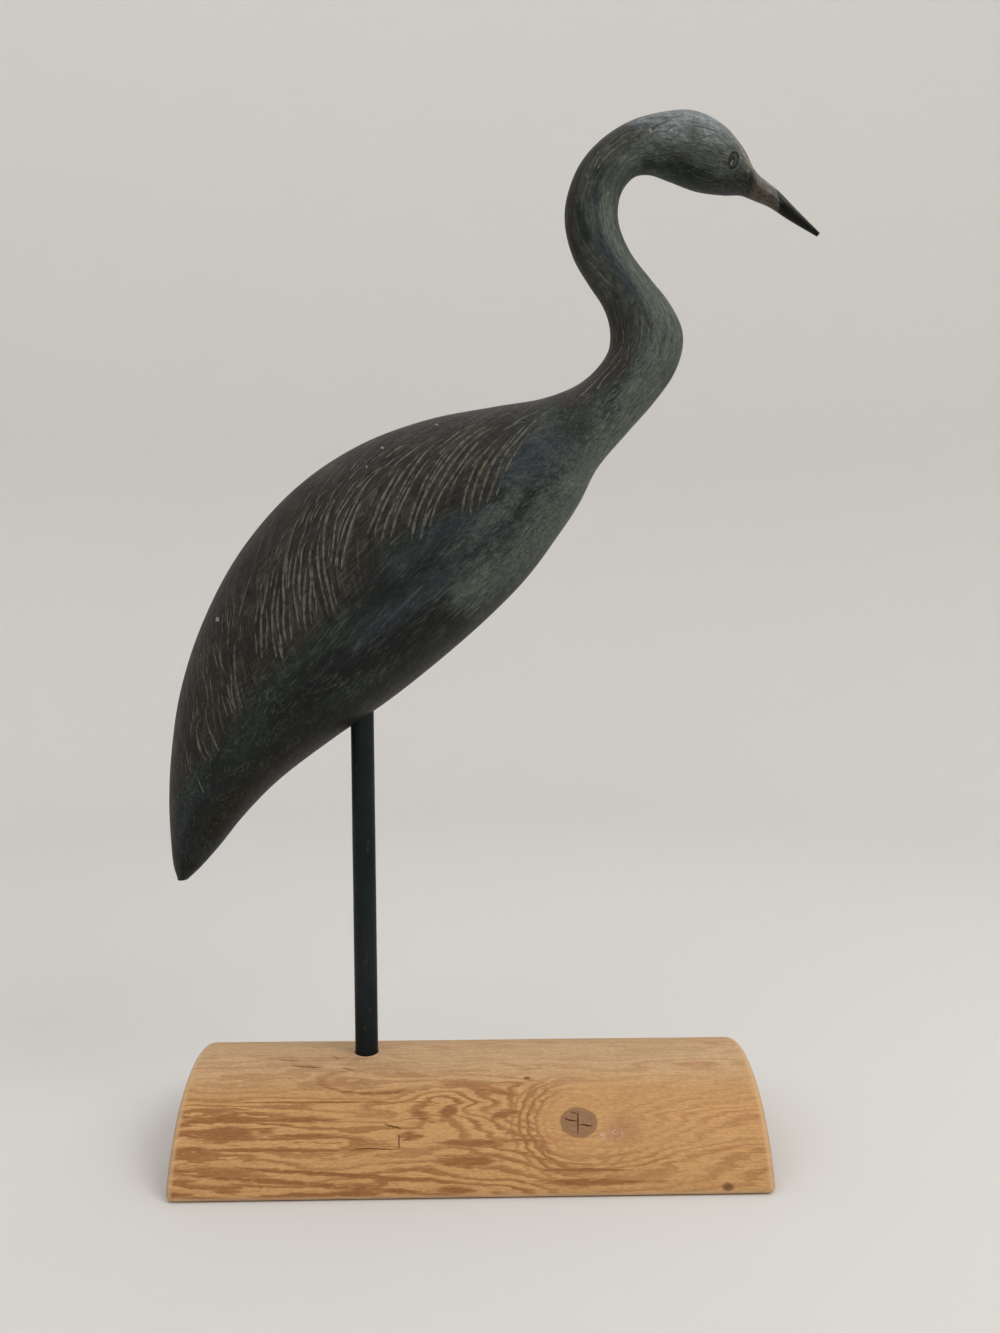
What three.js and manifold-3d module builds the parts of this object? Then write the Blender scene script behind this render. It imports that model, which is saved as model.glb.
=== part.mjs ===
// A wading bird carved from one block of wood, held up by one round dowel in half a log.
// Millimetres, +Z up. The origin is the middle of the log's flat underside. The bird faces +X,
// and its middle plane is Y = 0.
import * as THREE from "three";
import { mergeVertices } from "three/addons/utils/BufferGeometryUtils.js";
import Module from "manifold-3d";

const wasm = await Module();
wasm.setup();

// Driving dimensions.
const LOG_LENGTH = 304.8;
const LOG_RADIUS = 70.6;
const LOG_HEIGHT = 48.2;
const LONG_EDGE = 2.5; // rounding of the two long edges
const END_EDGE = 4; // rounding round the sawn ends
const SHARPEST_EDGE = 0.5;
const DOWEL_DIAMETER = 12.7;
const DOWEL_X = -58.8; // where the dowel stands in the crest of the log
const DOWEL_LEAN = 0.4; // degrees from upright, towards the tail
const DOWEL_TOP = 262; // height of the dowel's hidden upper end
const LOG_SOCKET_FLOOR = 16;
const FIT_GAP = 0.3; // clearance round the dowel in its two sockets
const BODY_WIDTH = 98;
const SLIVER = 0.02; // edges shorter than this are closed up after the cuts

// The bird from tail tip to bill tip, as sections across it. Each row gives the section's point
// on the back line (x, z), its point on the belly line (x, z), its width as a share of the
// body's, and how far its widest place lies towards the back, from -1 to 1.
const SECTIONS = [
  [-161.6, 146.4, -156.2, 145.4, 0.08, 0],
  [-163.4, 154, -149.5, 151.6, 0.18, 0],
  [-164.4, 168, -138.6, 163.8, 0.29, 0],
  [-164.7, 188, -126, 179.5, 0.44, 0],
  [-163.2, 212, -107, 199, 0.62, 0],
  [-157.5, 248.5, -77, 222, 0.82, 0],
  [-145.4, 285.2, -45, 244, 0.95, 0],
  [-124.7, 324, -16, 267, 1, 0],
  [-95, 357.9, 9, 289, 0.99, 0],
  [-61.3, 380.8, 30, 310.5, 0.93, 0],
  [-24.6, 394.7, 46, 332, 0.83, 0],
  [12.3, 402.1, 58, 350, 0.69, 0],
  [38.5, 406.8, 68, 369.5, 0.56, 0],
  [56.8, 414.2, 84, 388.5, 0.45, 0],
  [67.7, 423.4, 99, 405.5, 0.4, 0],
  [73.9, 433, 109.5, 420.5, 0.38, 0],
  [75, 441, 114, 434, 0.37, 0],
  [74, 449, 113.5, 444, 0.36, 0],
  [70.6, 457.7, 107, 457, 0.34, 0],
  [63.1, 468.7, 96, 470.7, 0.31, 0],
  [55, 482.1, 86, 483.6, 0.285, 0],
  [50.4, 498, 79.3, 499, 0.275, 0],
  [50.7, 512, 79, 511, 0.275, 0],
  [57.4, 530.3, 82.4, 520, 0.275, 0],
  [68.5, 543.2, 89.3, 526.6, 0.285, 0],
  [83.8, 552.9, 97.5, 527.5, 0.31, 0],
  [101.3, 558, 107.6, 524.2, 0.345, -0.05],
  [117.4, 559.2, 122.7, 519, 0.365, -0.1],
  [132.6, 552.6, 136.8, 517.2, 0.34, -0.1],
  [144, 540.4, 147, 517, 0.265, -0.1],
  [149.2, 531.2, 151, 515.2, 0.2, -0.05],
  [153.8, 526.2, 153.6, 513.7, 0.155, 0],
  [163.9, 519, 161, 510.6, 0.12, 0],
  [175.4, 508.4, 170.2, 504.5, 0.08, 0],
  [188.2, 496.6, 186.8, 494.8, 0.03, 0],
];
const RINGS_PER_SECTION = 2;
const SIDES = 28;

// The leading gouge strokes of the feathers, in fans that peel off the back and bend down
// towards the tail. Each row gives how many strokes, then the place on the skin (section row and
// degrees from the back) where the first stroke starts and ends, and the same of the last one.
const FANS = [
  [2, 11.9, 58, 9.6, 106, 11.6, 57, 9, 103],
  [2, 11.3, 56, 8.9, 93, 10.9, 55, 8.3, 95],
  [2, 10.6, 54, 8.5, 82, 10.2, 53, 8, 79],
  [3, 9.8, 52, 7, 92, 9, 51, 6.5, 89],
  [2, 8.6, 50, 6.3, 87, 8.2, 49, 5.9, 79],
  [2, 7.6, 48, 5.3, 84, 6.9, 41, 5.6, 52],
  [2, 5.8, 55, 4.6, 84, 5.5, 44, 4.2, 72],
];
const STROKE_WIDTH = 1.6;
const STROKE_DEPTH = 1.1;
const STROKE_STEPS = 6;
const STROKE_BEND = [0.4, 0.25]; // how early a stroke runs out along the back, and turns down

// The eyes: an oval ring scored into each side of the head.
const EYE = { row: 28.2, angle: 111, width: 5, height: 7, tilt: 15, groove: 0.7 };

const curveThrough = (points) => new THREE.CatmullRomCurve3(points, false, "centripetal");
const backLine = curveThrough(SECTIONS.map(([x, z]) => new THREE.Vector3(x, 0, z)));
const bellyLine = curveThrough(SECTIONS.map(([, , x, z]) => new THREE.Vector3(x, 0, z)));
const widths = curveThrough(
  SECTIONS.map(([, , , , width, lift], i) => new THREE.Vector3(i * 0.5, width, lift)),
);

// The point of the bird's skin at a place along the sections, counted in rows, and at an angle
// round the section: 0 is the back, a quarter turn the near flank (-Y) and half a turn the belly.
function skinPoint(row, angle) {
  const t = THREE.MathUtils.clamp(row / (SECTIONS.length - 1), 0, 1);
  const back = backLine.getPoint(t);
  const belly = bellyLine.getPoint(t);
  const { y: width, z: lift } = widths.getPoint(t);
  const along = Math.cos(angle);
  const point = belly.lerp(back, (1 + along) / 2);
  point.y = -0.5 * BODY_WIDTH * width * Math.sin(angle) * (1 + lift * along);
  return point;
}

// A closed skin over rings of equally many points, with each end drawn in to the ring's middle.
function closedSkin(rings) {
  const count = rings[0].length;
  const middle = (ring) =>
    ring.reduce((sum, point) => sum.add(point), new THREE.Vector3()).divideScalar(count);
  const points = [...rings.flat(), middle(rings[0]), middle(rings.at(-1))];
  const first = points.length - 2;
  const last = points.length - 1;
  const faces = [];
  for (let side = 0; side < count; side++) {
    const next = (side + 1) % count;
    for (let ring = 0; ring < rings.length - 1; ring++) {
      const [a, b] = [ring * count + side, ring * count + next];
      faces.push(a, b, a + count, b, b + count, a + count);
    }
    const end = (rings.length - 1) * count;
    faces.push(first, next, side, last, end + side, end + next);
  }
  const geometry = new THREE.BufferGeometry().setFromPoints(points);
  geometry.setIndex(faces);
  return geometry;
}

// A geometry as a solid that can be cut, its shared points merged.
function solidOf(geometry) {
  const bare = geometry.clone();
  bare.deleteAttribute("normal");
  bare.deleteAttribute("uv");
  const merged = mergeVertices(bare, 1e-3);
  return new wasm.Manifold(
    new wasm.Mesh({
      numProp: 3,
      vertProperties: merged.attributes.position.array,
      triVerts: new Uint32Array(merged.index.array),
    }),
  );
}

// A cut solid as a geometry, without the slivers that the cuts leave.
function geometryOf(solid) {
  const { vertProperties, triVerts } = solid.simplify(SLIVER).getMesh();
  const geometry = new THREE.BufferGeometry();
  geometry.setAttribute("position", new THREE.BufferAttribute(vertProperties, 3));
  geometry.setIndex(new THREE.BufferAttribute(triVerts, 1));
  geometry.computeVertexNormals();
  return geometry;
}

// The direction straight out of the skin there.
function skinNormal(row, angle) {
  const step = 0.01;
  const down = skinPoint(row - step, angle).sub(skinPoint(row + step, angle));
  const round = skinPoint(row, angle + step).sub(skinPoint(row, angle - step));
  return round.cross(down).normalize();
}

// A blade swept along a stroke: a V below the skin, open above it, shallow at both ends.
function strokeGeometry(from, to, flank) {
  const bend = [
    THREE.MathUtils.lerp(to[0], from[0], STROKE_BEND[0]),
    THREE.MathUtils.lerp(from[1], to[1], STROKE_BEND[1]),
  ];
  const place = (s) =>
    [0, 1].map((i) => from[i] * (1 - s) ** 2 + 2 * bend[i] * s * (1 - s) + to[i] * s ** 2);
  const rings = [];
  for (let step = 0; step <= STROKE_STEPS; step++) {
    const s = step / STROKE_STEPS;
    const [row, turn] = place(s);
    const angle = flank * THREE.MathUtils.degToRad(turn);
    const point = skinPoint(row, angle);
    const [nextRow, nextTurn] = place(s + 0.01);
    const along = skinPoint(nextRow, flank * THREE.MathUtils.degToRad(nextTurn)).sub(point);
    const out = skinNormal(row, angle);
    const across = along.cross(out).normalize();
    const size = 0.3 + 0.7 * Math.min(1, 4 * s, 4 * (1 - s));
    const above = point.clone().addScaledVector(out, STROKE_DEPTH * size);
    rings.push([
      point.clone().addScaledVector(out, -STROKE_DEPTH * size),
      above.clone().addScaledVector(across, -STROKE_WIDTH * size),
      above.clone().addScaledVector(across, STROKE_WIDTH * size),
    ]);
  }
  return closedSkin(rings);
}

// All the strokes, on both flanks.
function* strokeGeometries() {
  for (const [count, rowA, angleA, rowB, angleB, rowC, angleC, rowD, angleD] of FANS)
    for (let i = 0; i < count; i++)
      for (const flank of [-1, 1]) {
        const mix = (a, b) => THREE.MathUtils.lerp(a, b, i / (count - 1));
        const from = [mix(rowA, rowC), mix(angleA, angleC)];
        const to = [mix(rowB, rowD), mix(angleB, angleD)];
        yield strokeGeometry(from, to, flank);
      }
}

// An oval ring lying in the skin where an eye is scored.
function eyeGeometry(flank) {
  const angle = flank * THREE.MathUtils.degToRad(EYE.angle);
  const geometry = new THREE.TorusGeometry(EYE.height / 2, EYE.groove, 6, 20);
  geometry.scale(EYE.width / EYE.height, 1, 1);
  geometry.rotateZ(flank * THREE.MathUtils.degToRad(EYE.tilt));
  const out = skinNormal(EYE.row, angle);
  const up = new THREE.Vector3(0, 0, 1);
  const side = new THREE.Vector3().crossVectors(up, out).normalize();
  up.crossVectors(out, side);
  geometry.applyMatrix4(new THREE.Matrix4().makeBasis(side, up, out));
  const { x, y, z } = skinPoint(EYE.row, angle);
  geometry.translate(x, y, z);
  return geometry;
}

// The dowel, or with a gap the hole for it, turned to its lean about its place on the log.
function dowelGeometry(gap) {
  const bottom = LOG_SOCKET_FLOOR - gap;
  const top = DOWEL_TOP + gap;
  const geometry = new THREE.CylinderGeometry(
    DOWEL_DIAMETER / 2 + gap, DOWEL_DIAMETER / 2 + gap, top - bottom, 32,
  );
  geometry.rotateX(Math.PI / 2);
  geometry.translate(0, 0, (top + bottom) / 2 - LOG_HEIGHT);
  geometry.rotateY(-THREE.MathUtils.degToRad(DOWEL_LEAN));
  geometry.translate(DOWEL_X, 0, LOG_HEIGHT);
  return geometry;
}

// The bird: the sections skinned over, less the strokes, the eyes and the hole for the dowel.
function birdGeometry() {
  const rings = [];
  for (let i = 0; i <= (SECTIONS.length - 1) * RINGS_PER_SECTION; i++) {
    const ring = [];
    for (let side = 0; side < SIDES; side++)
      ring.push(skinPoint(i / RINGS_PER_SECTION, (side / SIDES) * 2 * Math.PI));
    rings.push(ring);
  }
  const cuts = [dowelGeometry(FIT_GAP), eyeGeometry(-1), eyeGeometry(1), ...strokeGeometries()];
  return geometryOf(cuts.reduce((solid, cut) => solid.subtract(solidOf(cut)),
    solidOf(closedSkin(rings))));
}

// The log's section, drawn in by an inset: a big arc above, two small ones at the long edges.
function logRing(x, inset) {
  const middle = LOG_HEIGHT - LOG_RADIUS;
  const radius = LOG_RADIUS - inset;
  const edge = Math.max(LONG_EDGE - inset, SHARPEST_EDGE);
  const edgeZ = inset + edge;
  const reach = Math.sqrt((radius - edge) ** 2 - (edgeZ - middle) ** 2);
  const turn = Math.atan2(edgeZ - middle, reach);
  const arc = (y, z, size, from, to, steps) =>
    Array.from({ length: steps }, (_, step) => {
      const angle = from + ((to - from) * step) / steps;
      return new THREE.Vector3(x, y + size * Math.cos(angle), z + size * Math.sin(angle));
    });
  return [
    ...arc(0, middle, radius, turn, Math.PI - turn, 32),
    ...arc(-reach, edgeZ, edge, Math.PI - turn, 1.5 * Math.PI, 4),
    ...arc(reach, edgeZ, edge, 1.5 * Math.PI, 2 * Math.PI + turn, 4),
  ];
}

// The log: a slice of a round trunk with a flat underside, sawn across and rounded at the ends,
// and the hole for the dowel in its crest.
function logGeometry() {
  const rings = [];
  for (const end of [-1, 1])
    for (let step = 0; step <= 4; step++) {
      const angle = ((end < 0 ? step : 4 - step) * Math.PI) / 8;
      const x = end * (LOG_LENGTH / 2 - END_EDGE * (1 - Math.cos(angle)));
      rings.push(logRing(x, END_EDGE * (1 - Math.sin(angle))));
    }
  return geometryOf(solidOf(closedSkin(rings)).subtract(solidOf(dowelGeometry(FIT_GAP))));
}

// A named piece in its own paint or bare wood.
function part(name, geometry, color, roughness) {
  const material = new THREE.MeshStandardMaterial({ color, roughness, metalness: 0 });
  const mesh = new THREE.Mesh(geometry, material);
  mesh.name = name;
  return mesh;
}

const statue = new THREE.Group();
statue.add(part("log_base", logGeometry(), 0xc39b6a, 0.7));
statue.add(part("leg_dowel", dowelGeometry(0), 0x20262b, 0.45));
statue.add(part("carved_egret", birdGeometry(), 0x3a423e, 0.5));

export default statue;
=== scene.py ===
import math
import random

import bmesh
import bpy
from mathutils import Matrix, Vector, noise
from mathutils.bvhtree import BVHTree
from mathutils.interpolate import poly_3d_calc


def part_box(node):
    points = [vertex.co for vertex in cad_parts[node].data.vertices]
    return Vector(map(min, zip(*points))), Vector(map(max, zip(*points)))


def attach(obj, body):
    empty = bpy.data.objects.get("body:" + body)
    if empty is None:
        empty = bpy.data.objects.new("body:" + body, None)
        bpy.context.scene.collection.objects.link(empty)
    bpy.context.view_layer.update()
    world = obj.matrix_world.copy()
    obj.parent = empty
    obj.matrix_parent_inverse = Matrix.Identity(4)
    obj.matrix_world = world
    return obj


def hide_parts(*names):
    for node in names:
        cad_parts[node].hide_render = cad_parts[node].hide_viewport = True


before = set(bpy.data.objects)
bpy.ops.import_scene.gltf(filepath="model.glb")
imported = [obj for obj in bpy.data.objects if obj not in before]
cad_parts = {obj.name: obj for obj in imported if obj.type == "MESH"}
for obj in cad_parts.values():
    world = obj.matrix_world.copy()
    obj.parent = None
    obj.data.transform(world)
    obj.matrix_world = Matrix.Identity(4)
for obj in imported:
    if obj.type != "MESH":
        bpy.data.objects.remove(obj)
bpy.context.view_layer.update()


# The room. A pale matt sheet lies flat under the statue and sweeps up all round it, under an even
# sky, with a broad soft lamp high on the right in front and a weaker one on the left.
CAMERA_PLACE = (0.00017, -0.57427, 0.29079)
CAMERA_TURN = 0.026335  # towards +X, in radians
CAMERA_DIP = 0.05
CAMERA_LENS = 28.357

camera = bpy.data.objects.new("camera", bpy.data.cameras.new("camera"))
camera.location = CAMERA_PLACE
camera.rotation_euler = (math.pi / 2 - CAMERA_DIP, 0, -CAMERA_TURN)
camera.data.lens = CAMERA_LENS
bpy.context.scene.collection.objects.link(camera)
bpy.context.scene.camera = camera
bpy.context.scene.view_settings.view_transform = "Standard"

SHEET_FLAT = 0.95  # radius of the flat part
SHEET_BEND = 0.6
SHEET_TOP = 2.2
SHEET_DROP = 0.0002  # how far it lies under the statue
SHEET_COLOUR = (0.66, 0.645, 0.62, 1)
SHEET_ROUGHNESS = 0.9
SHEET_BEND_STEPS = 12
SHEET_SIDES = 96
LAMP_AIM = (0, 0, 0.3)  # near the statue's middle
SKY_TINT = (0.97, 0.98, 1, 1)
SKY_STRENGTH = 1.3


def object_of(name, bm):
    """A named object at the origin that holds what a bmesh built."""
    mesh = bpy.data.meshes.new(name)
    bm.to_mesh(mesh)
    bm.free()
    made = bpy.data.objects.new(name, mesh)
    bpy.context.scene.collection.objects.link(made)
    return made


sheet = bmesh.new()
profile = [sheet.verts.new((x, 0, -SHEET_DROP)) for x in (0, SHEET_FLAT)]
for step in range(1, SHEET_BEND_STEPS + 1):
    turn = step / SHEET_BEND_STEPS * math.pi / 2
    reach = SHEET_FLAT + SHEET_BEND * math.sin(turn)
    profile.append(sheet.verts.new((reach, 0, SHEET_BEND * (1 - math.cos(turn)) - SHEET_DROP)))
profile.append(sheet.verts.new((SHEET_FLAT + SHEET_BEND, 0, SHEET_TOP)))
edges = [sheet.edges.new(pair) for pair in zip(profile, profile[1:])]
bmesh.ops.spin(sheet, geom=profile + edges, cent=(0, 0, 0), axis=(0, 0, 1), angle=2 * math.pi,
               steps=SHEET_SIDES, use_merge=True)
bmesh.ops.remove_doubles(sheet, verts=sheet.verts, dist=1e-5)
floor = object_of("floor", sheet)
floor.data.shade_smooth()
matt = bpy.data.materials.new("matt_sheet")
matt.use_nodes = True
matt_shader = matt.node_tree.nodes["Principled BSDF"]
matt_shader.inputs["Base Color"].default_value = SHEET_COLOUR
matt_shader.inputs["Roughness"].default_value = SHEET_ROUGHNESS
floor.data.materials.append(matt)

for name, place, size, watts, tint in (
    ("key_lamp", (1.0, -0.75, 1.35), 0.9, 11, (1, 0.98, 0.95)),
    ("fill_lamp", (-1.1, -0.9, 1.1), 1.0, 3, (0.97, 0.98, 1)),
):
    lamp = bpy.data.objects.new(name, bpy.data.lights.new(name, "AREA"))
    lamp.data.size = size
    lamp.data.energy = watts
    lamp.data.color = tint
    lamp.location = place
    lamp.rotation_euler = (Vector(LAMP_AIM) - lamp.location).to_track_quat("-Z", "Y").to_euler()
    lamp.visible_camera = False
    bpy.context.scene.collection.objects.link(lamp)
world = bpy.data.worlds.new("soft_sky")
world.use_nodes = True
sky = world.node_tree.nodes["Background"]
sky.inputs["Color"].default_value = SKY_TINT
sky.inputs["Strength"].default_value = SKY_STRENGTH
bpy.context.scene.world = world


# The base. Half of a peeled pine log, sawn flat underneath and across both ends, its edges
# rounded over by hand and its wood left bare. A blind hole in its crest takes the dowel.
_, LOG_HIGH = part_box("log_base")
LOG_RADIUS = 0.0706
LOG_AXIS = LOG_HIGH.z - LOG_RADIUS  # height of the trunk's middle
LOG_EDGE = 0.0025  # rounding of the two long edges
LOG_END_EDGE = 0.004  # rounding round the sawn ends
LOG_SHARPEST_EDGE = 0.0005
LOG_ROWS = 110
LOG_END_ROWS = 6
LOG_CROWN_SIDES = 84
LOG_EDGE_SIDES = 6
LOG_FLAT_SIDES = 20
KNIFE_FLATS = 0.00025  # depth of the shallow flats that the drawknife left
DOWEL_X = -0.0588  # where the dowel stands in the crest
DOWEL_RADIUS = 0.00635
DOWEL_LEAN = math.radians(0.4)  # towards the tail
DOWEL_SPAN = (0.016, 0.262)  # heights of its two ends
SOCKET_GAP = 0.0003
HOLE_DEPTH = 2  # cuts deeper than this many of the deepest grooves are drilled holes
SHARP_TURN = math.radians(32)  # edges that turn more than this stay sharp
# Drying checks, as x and distance round the skin from the crest at both ends, and width, in mm.
LOG_CHECKS = [
    (-37.6, 56.6, -37.2, 64.4, 0.8), (-62, 63.6, -37, 64.4, 0.6), (-107, 8.8, -93, 10.6, 1.5),
    (-99, 14.4, -81, 16.8, 1.6), (-92, -9, -84, -3.4, 1.2), (-78, 5.2, -72, 9.6, 1.3),
    (-71, 16.6, -63, 19.4, 1.4), (-46, 52, -36, 54.4, 0.8),
    (54.6, 45.6, 53.6, 59.4, 0.9), (46.4, 50.2, 54, 52.2, 0.8), (54.4, 53.2, 62.2, 54.6, 0.8),
    (50.2, 46.8, 54.2, 48.2, 0.6), (-35.8, 60.4, -31.6, 59, 0.4),
]
CHECK_STEPS = 12
CHECK_STRAY = 0.0004  # how far a check wanders off its straight line
CHECK_DEPTH = 0.0011  # of the blade that cuts it
CHECK_DARKEST = 0.0008  # depth at which it is at its darkest
KNOT_X, KNOT_TURN = 0.0545, math.radians(42.4)  # along the log, and round from its crest
KNOT_HALF = (0.0093, 0.0077)  # its half sizes along the log and round it


def closed_skin(bm, rows, sides, place):
    """Adds a grid rolled into a tube whose corners are place(row, side). Its ends are points."""
    made = bmesh.ops.create_grid(bm, x_segments=rows, y_segments=sides, size=0.5)["verts"]
    for corner in made:
        row = round((corner.co.x + 0.5) * rows)
        side = round((corner.co.y + 0.5) * sides) % sides
        corner.co = place(row, side)
    bmesh.ops.remove_doubles(bm, verts=made, dist=1e-7)
    faces = {face for corner in made if corner.is_valid for face in corner.link_faces}
    bmesh.ops.recalc_face_normals(bm, faces=list(faces))


def add_blade(bm, path, width, depth):
    """Adds a V-shaped blade along a path of (point, way out of the skin, size)."""
    def place(row, side):
        point, out, size = path[row]
        along = path[min(row + 1, len(path) - 1)][0] - path[max(row - 1, 0)][0]
        across = along.cross(out).normalized()
        if side == 0:
            return point - out * depth * size
        return point + (out * depth + across * width * (3 - 2 * side)) * size

    closed_skin(bm, len(path) - 1, 3, place)


def carve(piece, tools):
    """Cuts the closed skins in a bmesh out of a piece."""
    tool = object_of("tool", tools)
    cut = piece.modifiers.new("cut", "BOOLEAN")
    cut.operation = "DIFFERENCE"
    cut.solver = "MANIFOLD"
    cut.object = tool
    carved = bpy.data.meshes.new_from_object(piece.evaluated_get(bpy.context.evaluated_depsgraph_get()))
    piece.modifiers.clear()
    piece.data = carved
    bpy.data.objects.remove(tool)


def mark_depth(piece, skin, deepest):
    """Stores how deep each corner was cut, as a share of the deepest cut, but 0 in a drilled hole."""
    marks = piece.data.attributes.new("depth", "FLOAT", "POINT")
    for corner, mark in zip(piece.data.vertices, marks.data):
        depth = skin.find_nearest(corner.co)[3] / deepest
        mark.value = min(1, depth) if depth < HOLE_DEPTH else 0


def log_outline(inset):
    """The log's section as (y, z) points, drawn in by an inset."""
    radius = LOG_RADIUS - inset
    edge = max(LOG_EDGE - inset, LOG_SHARPEST_EDGE)
    edge_z = inset + edge
    reach = math.sqrt((radius - edge) ** 2 - (edge_z - LOG_AXIS) ** 2)
    turn = math.atan2(edge_z - LOG_AXIS, reach)
    points = []
    for y, z, size, start, end, steps in (
        (0, LOG_AXIS, radius, turn, math.pi - turn, LOG_CROWN_SIDES),
        (-reach, edge_z, edge, math.pi - turn, 1.5 * math.pi, LOG_EDGE_SIDES),
        (reach, edge_z, edge, 1.5 * math.pi, 2 * math.pi + turn, LOG_EDGE_SIDES),
    ):
        if y > 0:
            points += [(reach * (2 * step / LOG_FLAT_SIDES - 1), inset) for step in range(LOG_FLAT_SIDES)]
        for step in range(steps):
            angle = start + (end - start) * step / steps
            points.append((y + size * math.cos(angle), z + size * math.sin(angle)))
    return points


LOG_OUTLINES = [log_outline(LOG_END_EDGE * (1 - math.sin(step / LOG_END_ROWS * math.pi / 2)))
                for step in range(LOG_END_ROWS + 1)]


def log_place(row, side):
    """A corner of the log's skin, rounded over at both ends and shaved in flats between them."""
    end = -1 if row < LOG_ROWS / 2 else 1
    rows_in = min(row, LOG_ROWS - row) - 1
    if rows_in < 0:
        return Vector((end * LOG_HIGH.x, 0, LOG_HIGH.z / 2))
    step = min(rows_in, LOG_END_ROWS)
    x = LOG_HIGH.x - LOG_END_EDGE * (1 - math.cos(step / LOG_END_ROWS * math.pi / 2))
    x *= end * min(1, (LOG_ROWS / 2 - 1 - rows_in) / (LOG_ROWS / 2 - 1 - LOG_END_ROWS))
    y, z = LOG_OUTLINES[step][side]
    shave = KNIFE_FLATS * (0.5 + 0.5 * noise.noise(Vector((x * 16, y * 50, z * 50))))
    return Vector((x, y, z)) - Vector((0, y, z - LOG_AXIS)).normalized() * shave * min(1, z / LOG_EDGE)


def log_skin(x, arc):
    """The point of the log's skin at a distance round from the crest, and the way out of it."""
    turn = arc / LOG_RADIUS
    out = Vector((0, -math.sin(turn), math.cos(turn)))
    return Vector((x, 0, LOG_AXIS)) + out * LOG_RADIUS, out


def dowel_matrix(height):
    """The place of the dowel's middle at a height, leaning about its place on the crest."""
    lean = Matrix.Rotation(-DOWEL_LEAN, 4, "Y")
    return Matrix.Translation((DOWEL_X, 0, LOG_HIGH.z)) @ lean @ Matrix.Translation(
        (0, 0, height - LOG_HIGH.z))


def add_socket(bm):
    """Adds the dowel's own shape, a little larger, to cut the holes that it stands in."""
    low, high = DOWEL_SPAN[0] - SOCKET_GAP, DOWEL_SPAN[1] + SOCKET_GAP
    radius = DOWEL_RADIUS + SOCKET_GAP
    bmesh.ops.create_cone(bm, cap_ends=True, segments=64, radius1=radius, radius2=radius,
                          depth=high - low, matrix=dowel_matrix((low + high) / 2))


rough_log = bmesh.new()
closed_skin(rough_log, LOG_ROWS, len(LOG_OUTLINES[0]), log_place)
log_surface = BVHTree.FromBMesh(rough_log)
log = object_of("half_log", rough_log)
cuts = bmesh.new()
for x_from, arc_from, x_to, arc_to, width in LOG_CHECKS:
    start, end = Vector((x_from, arc_from)) / 1000, Vector((x_to, arc_to)) / 1000
    path = []
    for step in range(CHECK_STEPS + 1):
        share = step / CHECK_STEPS
        spot = start.lerp(end, share)
        side = Vector((start.y - end.y, end.x - start.x)).normalized()
        spot += side * CHECK_STRAY * noise.noise(Vector((spot.x * 700, spot.y * 700, width)))
        bite = math.sin(math.pi * share) ** 0.5 if 0 < step < CHECK_STEPS else 0
        path.append((*log_skin(*spot), bite))
    add_blade(cuts, path, width / 1000, CHECK_DEPTH)
add_socket(cuts)
carve(log, cuts)
mark_depth(log, log_surface, CHECK_DARKEST)
log.data.shade_smooth()
log.data.set_sharp_from_angle(angle=SHARP_TURN)


class Wire:
    """An output among a material's nodes. Sums and products of wires and numbers add nodes."""

    def __init__(self, tree, socket=None):
        self.tree = tree
        self.socket = socket

    def node(self, kind, settings, inputs, output=0):
        """Adds a node: its settings first, then its sockets' values or links."""
        made = self.tree.nodes.new("ShaderNode" + kind)
        for name, setting in settings.items():
            setattr(made, name, setting)
        for name, held in inputs.items():
            if isinstance(held, Wire):
                self.tree.links.new(held.socket, made.inputs[name])
            else:
                made.inputs[name].default_value = held
        return Wire(self.tree, made.outputs[output])

    def math(self, operation, *others):
        return self.node("Math", {"operation": operation}, dict(enumerate((self, *others))))

    def vector(self, operation, *vectors):
        output = "Value" if operation in ("LENGTH", "DOT_PRODUCT") else "Vector"
        return self.node("VectorMath", {"operation": operation},
                         {0: self, **dict(enumerate(vectors, 1))}, output)

    def __add__(self, other):
        return self.math("ADD", other)

    def __sub__(self, other):
        return self.math("SUBTRACT", other)

    def __rsub__(self, other):
        return self.node("Math", {"operation": "SUBTRACT"}, {0: other, 1: self})

    def __mul__(self, other):
        return self.math("MULTIPLY", other)

    def __truediv__(self, other):
        return self.math("DIVIDE", other)

    def __pow__(self, other):
        return self.math("POWER", other)

    __radd__ = __add__
    __rmul__ = __mul__

    def part(self, axis):
        return self.node("SeparateXYZ", {}, {0: self}, axis)

    def rise(self, low, high):
        """0 up to low and 1 from high on, with a soft step between; a fall where low is higher."""
        ends = {"Value": self, "From Min": low, "From Max": high}
        return self.node("MapRange", {"interpolation_type": "SMOOTHSTEP"}, ends)

    def grain(self, stretch, detail=2.0, roughness=0.5):
        """Noise from 0 to 1 over this place, with so many features a metre along each axis."""
        inputs = {"Vector": self.vector("MULTIPLY", stretch), "Scale": 1.0,
                  "Detail": detail, "Roughness": roughness}
        return self.node("TexNoise", {}, inputs)

    def pick(self, colour, other):
        """The first colour where this is 0 and the other where it is 1."""
        return self.node("Mix", {"data_type": "RGBA"}, {0: self, 6: colour, 7: other}, 2)

    def shade(self, colour, strength):
        """A colour made lighter or darker by this, around a half, as much as strength says."""
        light = self.node("CombineXYZ", {}, dict.fromkeys(range(3), 1 + (self - 0.5) * strength))
        return colour.vector("MULTIPLY", light)


def screen(red, green, blue):
    """A colour read off a screen, from 0 to 255, in the shader's linear numbers."""
    return [*(((level / 255 + 0.055) / 1.055) ** 2.4 for level in (red, green, blue)), 1]


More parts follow.
